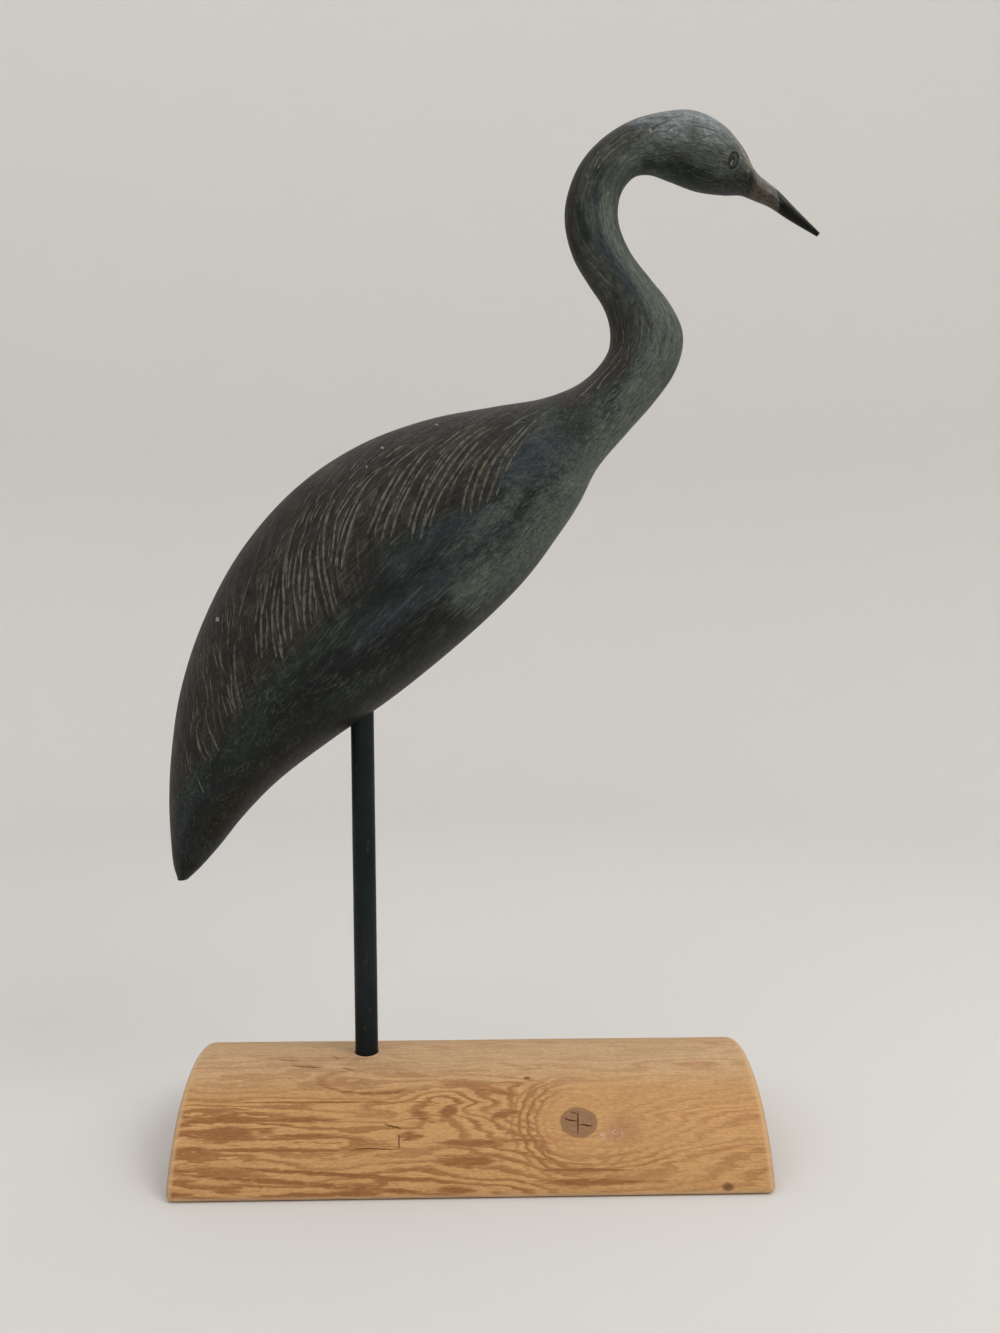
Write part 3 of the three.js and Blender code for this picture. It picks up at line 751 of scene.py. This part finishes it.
def section(row):
    """The section's points on the back and the belly, half its width, and its lift."""
    share = min(1, max(0, row / LAST_SECTION))
    _, width, lift = through(WIDTHS, share)
    return through(BACK, share) / 1000, through(BELLY, share) / 1000, BODY_WIDTH / 2 * width, lift


def bird_skin(row, degrees):
    """The point of the skin at a row and an angle: 0 is the back and 90 the near flank."""
    back, belly, half_width, lift = section(row)
    along = math.cos(math.radians(degrees))
    point = belly.lerp(back, (1 + along) / 2)
    point.y = -half_width * math.sin(math.radians(degrees)) * (1 + lift * along)
    return point


BIRD_ROWS = LAST_SECTION * RINGS_PER_SECTION + 2 * TIP_RINGS
BIRD_LOW, BIRD_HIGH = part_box("carved_egret")


def bird_place(row, side):
    """A corner of the bird's skin, with the tail and the bill rounded over at their ends."""
    spot = (row - TIP_RINGS) / RINGS_PER_SECTION
    point = bird_skin(spot, side / BIRD_SIDES * 360)
    over = max(-spot, spot - LAST_SECTION, 0) * RINGS_PER_SECTION / TIP_RINGS
    if over > 0:
        tail = spot < 0
        middle = sum(section(spot)[:2], Vector()) / 2
        inner = sum(section(0.2 if tail else LAST_SECTION - 0.2)[:2], Vector()) / 2
        turn = over * math.pi / 2
        bulge = (middle - inner).normalized() * (TIP_BULGE[0 if tail else 1] * math.sin(turn))
        point = middle + (point - middle) * round(math.cos(turn), 6) + bulge
    return Vector(min(max(value, low), high) for value, low, high in zip(point, BIRD_LOW, BIRD_HIGH))


rough_bird = bmesh.new()
closed_skin(rough_bird, BIRD_ROWS, BIRD_SIDES, bird_place)
bmesh.ops.triangulate(rough_bird, faces=rough_bird.faces)
bird_surface = BVHTree.FromBMesh(rough_bird)
bird = object_of("egret", rough_bird)


def on_flank(x, z, flank):
    """The place on one flank of the bird that shows at x and z from the side."""
    beside = Vector((x, -BESIDE * flank, z))
    met = bird_surface.ray_cast(beside, Vector((0, flank, 0)))[0]
    return met or bird_surface.find_nearest(Vector((x, -0.01 * flank, z)))[0]


def blade_path(spots, size, fade_in, fade_out, waver):
    """The path of a blade over the bird's skin, from one point to the next, shallow at both ends."""
    length = sum((b - a).length for a, b in zip(spots, spots[1:]))
    steps = max(8, round(length / STROKE_STEP))
    path = []
    for step in range(steps + 1):
        share = step / steps
        spot = through(spots, share)
        spot += noise.noise_vector(Vector((share * length * 60, waver, 0))) * STROKE_STRAY
        point, out = bird_surface.find_nearest(spot)[:2]
        fade = min(1, share / fade_in, (1 - share) / fade_out) ** 0.6
        bite = size * fade * (1 + 0.3 * noise.noise(Vector((share * length * 150, waver, 9))))
        path.append((point, out, bite))
    return path


random.seed(11)
paths = []
for flank in (1, -1):
    for stroke in STROKES:
        stray = random.uniform(-1, 1) * MIRROR_SHIFT * (flank < 0)
        spots = [on_flank(x / 1000 + stray, z / 1000 - stray, flank)
                 for x, z in zip(stroke[1::2], stroke[2::2])]
        paths.append(blade_path(spots, 0.35 + 0.6 * stroke[0], *STROKE_FADES, len(paths) * 3.7))
    eye_spots = []
    for step in range(EYE_STEPS + 1):
        turn = (step / EYE_STEPS - 0.3) * 2 * math.pi
        across, up = EYE_HALF[0] * math.cos(turn), EYE_HALF[1] * math.sin(turn)
        x = EYE_X + across * math.cos(EYE_TILT) + up * math.sin(EYE_TILT)
        z = EYE_Z + up * math.cos(EYE_TILT) - across * math.sin(EYE_TILT)
        eye_spots.append(on_flank(x, z, flank))
    paths.append(blade_path(eye_spots, EYE_CUT, EYE_FADE, EYE_FADE, 0))
rounds = []
for path in paths:
    points = [point for point, _, _ in path]
    for taken, cuts in rounds:
        if all((point - other).length > STROKE_CLEAR for point in points for other in taken):
            break
    else:
        taken, cuts = [], bmesh.new()
        rounds.append((taken, cuts))
    taken += points
    add_blade(cuts, path, STROKE_WIDTH, STROKE_DEPTH)
for _, cuts in rounds:
    carve(bird, cuts)
socket = bmesh.new()
add_socket(socket)
carve(bird, socket)
mark_depth(bird, bird_surface, STROKE_DEPTH)
bird.data.shade_smooth()
bird.data.set_sharp_from_angle(angle=SHARP_TURN)

# How the paint was laid, with some painted light and painted shade among it, over the side view: bands of
# a tone, as half a width and the places (x, z) that the band runs through, in mm.
TONES = {
    "ash": [
        (17, (44, 384), (66, 404), (92, 430), (92, 452), (72, 474), (64, 500), (66, 518), (84, 538)),
        (14, (84, 538), (110, 540), (136, 532)),
    ],
    "slate": [
        (13, (22, 364), (53, 381)), (10, (14, 338), (-16, 335), (-38, 318)),
        (7, (-1, 318), (-36, 292), (-71, 269)), (9, (-142, 194), (-153, 165)),
        # Painted light: the slate band down the front of the neck is a painted sheen, and the band over
        # the crown is a painted highlight on the top of the head
        (6, (68, 513), (70, 487), (83, 468), (92, 453)), (6, (89, 546), (119, 548)),
    ],
    "green": [
        (7, (-63, 310), (-48, 324), (-31, 328)), (12, (-66, 284), (-91, 267), (-112, 247), (-118, 220)),
        (9, (64, 410), (48, 391), (67, 382)), (4, (92, 529), (108, 525), (124, 521)),
        (8, (-134, 232), (-147, 199)), (7, (-43, 258), (-73, 246)), (5, (68, 523), (70, 508)),
        (3, (56, 505), (60, 488)), (8, (84, 425), (72, 400)),
    ],
    "dark": [
        # Painted shade: the two bands along the low flank under the wing, and partly the one at the
        # throat; the band at the tail is dark paint
        (6, (9, 304), (-37, 280), (-72, 255), (-99, 241)), (5, (-64, 273), (-84, 260)),
        (6, (-140, 191), (-151, 168), (-158, 152)), (3, (84, 527), (94, 524)),
    ],
    "pale": [
        # Painted highlight: the broad band down the breast, which is partly the breast's own pale green
        # paint, and the two bands down the front of the neck
        (12, (98, 430), (89, 404), (70, 378), (47, 348), (24, 320), (-1, 302)),
        (5, (72, 513), (73, 493), (82, 479), (93, 461)), (9, (95, 460), (105, 445), (106, 430)),
        (9, (98, 541), (118, 536), (137, 531)), (3, (24, 352), (4, 334), (-14, 320)),
        (5, (81, 527), (93, 538)),
    ],
    "olive": [(13, (-6, 274), (-55, 236), (-97, 210), (-134, 180)), (6, (-58, 234), (-122, 197))],
    "maroon": [
        (8, (50, 403), (76, 420), (79, 440)), (7, (-97, 318), (-88, 345), (-62, 364)),
        (6, (-138, 272), (-131, 246)), (7, (-37, 378), (-11, 382)), (7, (0, 384), (14, 374)),
        (6, (-117, 278), (-123, 298)), (6, (-60, 345), (-40, 350)),
    ],
    "buff": [(5, (136, 550), (142, 540), (148, 528))],
}
# The lower edge of the umber that was brushed over the wings and the back of the neck, as
# section row and degrees from the back.
UMBER_EDGE = [
    (0, 40), (3.6, 55), (4.6, 86), (5.3, 86), (6.5, 93), (7.3, 95), (8.2, 88), (9, 97), (9.6, 99),
    (10.4, 76), (11, 58), (12, 48), (13, 54), (14, 52), (15.5, 44), (17, 32), (19, 24), (21, 40),
    (23, 54), (25, 52), (26.5, 34), (27.5, 10), (34, 0),
]
UMBER_FADE = 14  # degrees over which it fades out
CHART_STEPS = 24  # from belly to back


def from_line(place, line):
    """The distance from a place to the nearest point of a line through places."""
    gaps = []
    for a, b in zip(map(Vector, line), map(Vector, line[1:])):
        share = min(1, max(0, (place - a).dot(b - a) / (b - a).length_squared))
        gaps.append((place - a.lerp(b, share)).length)
    return min(gaps)


# A chart of the side view. Each of its corners holds the distance along the body, the height over
# the body's middle, how much umber lies there, and how much of each other tone.
chart_points = []
chart_marks = []
along = 0
for step in range(LAST_SECTION * RINGS_PER_SECTION + 1):
    row = step / RINGS_PER_SECTION
    back, belly = section(row)[:2]
    middle = (back + belly) / 2
    if step > 0:
        along += (middle - last_middle).length
    last_middle = middle
    before = max((spot for spot in UMBER_EDGE if spot[0] <= row), key=lambda spot: spot[0])
    after = min((spot for spot in UMBER_EDGE if spot[0] >= row), key=lambda spot: spot[0])
    share = (row - before[0]) / max(after[0] - before[0], 1e-6)
    edge = before[1] + (after[1] - before[1]) * share
    for height in range(CHART_STEPS + 1):
        place = belly.lerp(back, height / CHART_STEPS)
        degrees = math.degrees(math.acos(2 * height / CHART_STEPS - 1))
        marks = [along, (place - middle).dot((back - belly).normalized()),
                 min(1, max(0, (edge - degrees) / UMBER_FADE + 0.5))]
        for bands in TONES.values():
            marks.append(max(math.exp(-(from_line(place.xz * 1000, line) / half) ** 2)
                             for half, *line in bands))
        chart_points.append(place)
        chart_marks.append(marks)
chart_faces = []
for step in range(LAST_SECTION * RINGS_PER_SECTION):
    for height in range(CHART_STEPS):
        corner = step * (CHART_STEPS + 1) + height
        chart_faces.append((corner, corner + 1, corner + CHART_STEPS + 2, corner + CHART_STEPS + 1))
chart = BVHTree.FromPolygons(chart_points, chart_faces)
lays = []
tones = {name: [] for name in ("umber", *TONES)}
for corner in bird.data.vertices:
    place, _, index, _ = chart.find_nearest(Vector((corner.co.x, 0, corner.co.z)))
    face = chart_faces[index]
    weights = poly_3d_calc([chart_points[i] for i in face], place)
    marks = [sum(weight * chart_marks[i][k] for weight, i in zip(weights, face))
             for k in range(len(tones) + 2)]
    lays += [marks[0], corner.co.y, marks[1]]
    for values, mark in zip(tones.values(), marks[2:]):
        values.append(mark)
bird.data.attributes.new("lay", "FLOAT_VECTOR", "POINT").data.foreach_set("vector", lays)
for name, values in tones.items():
    bird.data.attributes.new(name, "FLOAT", "POINT").data.foreach_set("value", values)

BELLY_GREY = screen(27, 32, 31)
BELLY_DARK = screen(19, 23, 22)
# The colours of the tones; among them, the dark, pale and slate bands carry painted shade and painted
# light
PAINT_AND_LIGHT_TONES = {
    "ash": screen(58, 61, 56), "slate": screen(39, 46, 50), "green": screen(29, 38, 32),
    "dark": screen(17, 21, 21), "olive": screen(25, 26, 20), "pale": screen(70, 77, 71),
    "umber": screen(36, 33, 28), "maroon": screen(40, 35, 30), "buff": screen(112, 110, 98),
}
GROOVE_PALE = screen(110, 106, 97)
GROOVE_DULL = screen(72, 68, 60)
# The dark of the painted shade in the cuts and beside the fine scoring
GROOVE_SHADE = screen(12, 11, 9)
SCRATCH_PALE = screen(104, 111, 101)
HEAD_GREY = screen(112, 117, 118)
BILL_BASE = screen(101, 98, 91)
BILL_UNDER = screen(72, 65, 58)
BILL_TIP = screen(8, 10, 10)
BILL_EDGE = screen(56, 61, 54)
EYE_RING = screen(32, 32, 27)
EYE_DOME = screen(60, 61, 55)
EYE_PUPIL = screen(30, 30, 26)
# White of the chips in the paint, and of the painted highlight in the eye
CHIP_AND_GLINT_WHITE = screen(165, 168, 168)
BILL_FROM, BILL_TIP_FROM = 0.1495, 0.292  # x, and x plus a quarter of z, where its two colours start
# Chips in the paint, as (x, z) and half a width, in mm.
CHIPS = [(-131, 288, 1.6), (-18, 389, 0.8), (-46, 376, 0.8), (-53.5, 366, 0.9), (93.5, 543, 1.4)]


def bird_finish(piece):
    tree, place = new_finish("rubbed_paint", piece)
    x, z = place.part("X"), place.part("Z")

    def mark(name, output="Fac"):
        return place.node("Attribute", {"attribute_name": name}, {}, output)

    lay = mark("lay", "Vector")
    cloud = lay.grain((14, 34, 34), 3)
    mottle = lay.grain((80, 170, 170), 3, 0.6)
    speck = place.grain((620, 620, 620), 3, 0.6)
    fleck = lay.grain((330, 420, 420), 2, 0.6).rise(0.3, 0.7)
    streak = lay.grain((150, 620, 620), 3, 0.65).rise(0.3, 0.7)
    brush = lay.grain((230, 1500, 1500), 3, 0.65).rise(0.3, 0.7)
    colour = cloud.rise(0.35, 0.65).pick(BELLY_GREY, BELLY_DARK)
    # Each tone is laid over the belly's grey, the bands of painted light and painted shade among them
    for name, paint in PAINT_AND_LIGHT_TONES.items():
        laid = (mark(name) + (mottle - 0.5) * 0.8 + (cloud - 0.5) * 0.4).rise(0.05, 1)
        colour = laid.pick(colour, paint)
    head = x.rise(0.062, 0.1) * z.rise(0.52, 0.55)
    colour = (head * (mottle + 0.16)).rise(0.2, 0.8).pick(colour, HEAD_GREY)
    # The bill is brown at the root and black at the tip; its lighter top and darker underside are partly
    # painted highlight and painted shade
    bill = (x + (mottle - 0.5) * 0.003).rise(BILL_FROM - 0.002, BILL_FROM + 0.002)
    under = (lay.part("Z") + (mottle - 0.5) * 0.002).rise(-0.0012, -0.0034)
    colour = bill.pick(colour, under.pick(BILL_BASE, BILL_UNDER))
    tip = (x + z * 0.25 + (mottle - 0.5) * 0.0015).rise(BILL_TIP_FROM, BILL_TIP_FROM + 0.0006)
    ridge = (lay.part("Z") + (mottle - 0.5) * 0.001).rise(0.0004, 0.0014)
    colour = tip.pick(colour, ridge.pick(BILL_TIP, BILL_EDGE))
    colour = cloud.shade(colour, 0.6)
    colour = mottle.shade(colour, 0.8)
    colour = streak.shade(colour, 0.6 - head * 0.2)
    colour = brush.shade(colour, 0.7 - head * 0.25)
    colour = fleck.shade(colour, 0.15 + head * 0.35)
    colour = speck.rise(0.3, 0.7).shade(colour, 0.45)
    scratch = lay.grain((60, 1300, 1300), 2, 0.55).rise(0.53, 0.63)
    scratch = scratch * lay.grain((60, 200, 200), 2).rise(0.38, 0.58)
    scratch = scratch * (0.2 + mark("pale") * 0.45 + mark("green") * 0.1)
    colour = scratch.pick(colour, SCRATCH_PALE)
    # Fine scoring between the strokes of the fans, running the way that they do. It is drawn in colour
    # only: dark lines of painted shade beside pale lines of the grooves' paint.
    along, over = lay.part("X"), lay.part("Z")
    comb = along + over * (along * (29.6 - along * 90) - 3.27) - over ** 2 * 6
    flank = lay.part("Y").math("SIGN") * 0.1
    score = place.node("CombineXYZ", {}, {0: comb, 1: along, 2: flank}).grain((430, 45, 40), 2, 0.6)
    fans = mark("umber") * along.rise(0.37, 0.33) * lay.part("Y").math("ABSOLUTE").rise(0.002, 0.014)
    colour = (score.rise(0.45, 0.35) * fans * 0.6).pick(colour, GROOVE_SHADE)
    colour = (score.rise(0.54, 0.64) * fans * 0.6).pick(colour, GROOVE_DULL)
    depth = mark("depth")
    worn = lay.grain((300, 300, 300), 2, 0.6).rise(0.36, 0.6)
    groove = worn.pick(GROOVE_DULL, GROOVE_PALE)
    # Painted shade: the cut's walls near its rim are darkened, less so on the head
    colour = (depth.rise(0.01, 0.08) * (1 - head * 0.85)).pick(colour, GROOVE_SHADE)
    colour = (depth.rise(0.02, 0.1) * head * 0.4).pick(colour, SCRATCH_PALE)
    colour = depth.rise(0.14, 0.34).pick(colour, groove)
    turn_across = (x - EYE_X) * math.cos(EYE_TILT) - (z - EYE_Z) * math.sin(EYE_TILT)
    turn_up = (x - EYE_X) * math.sin(EYE_TILT) + (z - EYE_Z) * math.cos(EYE_TILT)
    across, up = turn_across / EYE_HALF[0], turn_up / EYE_HALF[1]
    from_eye = (across ** 2 + up ** 2) ** 0.5
    colour = from_eye.rise(1.2, 1.05).pick(colour, EYE_RING)
    colour = from_eye.rise(0.9, 0.75).pick(colour, EYE_DOME)
    pupil = ((across + 0.25) / 0.5) ** 2 + (up / 0.5) ** 2
    colour = pupil.rise(1.2, 0.6).pick(colour, EYE_PUPIL)
    # Painted highlight: a pale slanted glint in the lower half of the eye
    glint = ((across - up * 0.3 + 0.1) / 0.16) ** 2 + ((up + 0.4) / 0.36) ** 2
    colour = (glint.rise(1.2, 0.6) * 0.4).pick(colour, CHIP_AND_GLINT_WHITE)
    chip = 0
    for chip_x, chip_z, half in CHIPS:
        off = ((x - chip_x / 1000) ** 2 + (z - chip_z / 1000) ** 2) ** 0.5 + (speck - 0.5) * 0.0034
        chip = off.rise(half * 0.001, half * 0.0004) + chip
    colour = (chip * 0.6).pick(colour, CHIP_AND_GLINT_WHITE)
    roughness = 0.5 + mottle * 0.16 - brush * 0.12
    height = mottle * 0.35 + streak * 0.2 + brush * 0.3 + speck * 0.25 - scratch * 0.8 - chip
    settle(tree, colour, roughness, height, 0.00022, {"Specular IOR Level": 0.16})


bird_finish(bird)
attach(bird, "root")
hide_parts("carved_egret")
